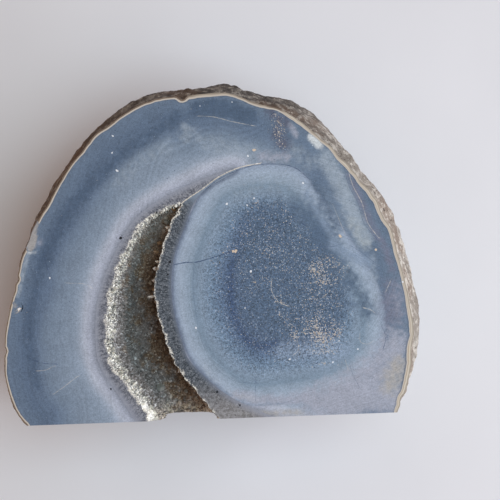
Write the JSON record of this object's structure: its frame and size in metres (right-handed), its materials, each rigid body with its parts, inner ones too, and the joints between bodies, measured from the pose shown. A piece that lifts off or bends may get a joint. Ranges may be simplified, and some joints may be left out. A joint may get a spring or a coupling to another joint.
{
  "type": "agate geode half",
  "caption": "Banded agate nodule sawn to a flat face and a flat base, with a rough natural back and a crescent hollow lined with small quartz crystals",
  "frame": {"origin": "centre of the stone's bounding box on the resting plane, with the stone lying on its natural back", "axes": "+X along the sawn base edge, to the right as seen looking at the sawn face with the base below; +Y from the sawn base to the crown; +Z out of the sawn face"},
  "size_m": [0.1057, 0.0846, 0.04],
  "materials": {
    "agate": "matt sawn banded chalcedony in blue-grey, dark blue and lavender, with a rough grey-brown rind",
    "crystal_crust": "small glassy quartz crystals, grey to brown with white tips"
  },
  "bodies": {
    "root": {"agate": "agate", "crystal_crust": "crystal_crust"}
  },
  "joints": []
}
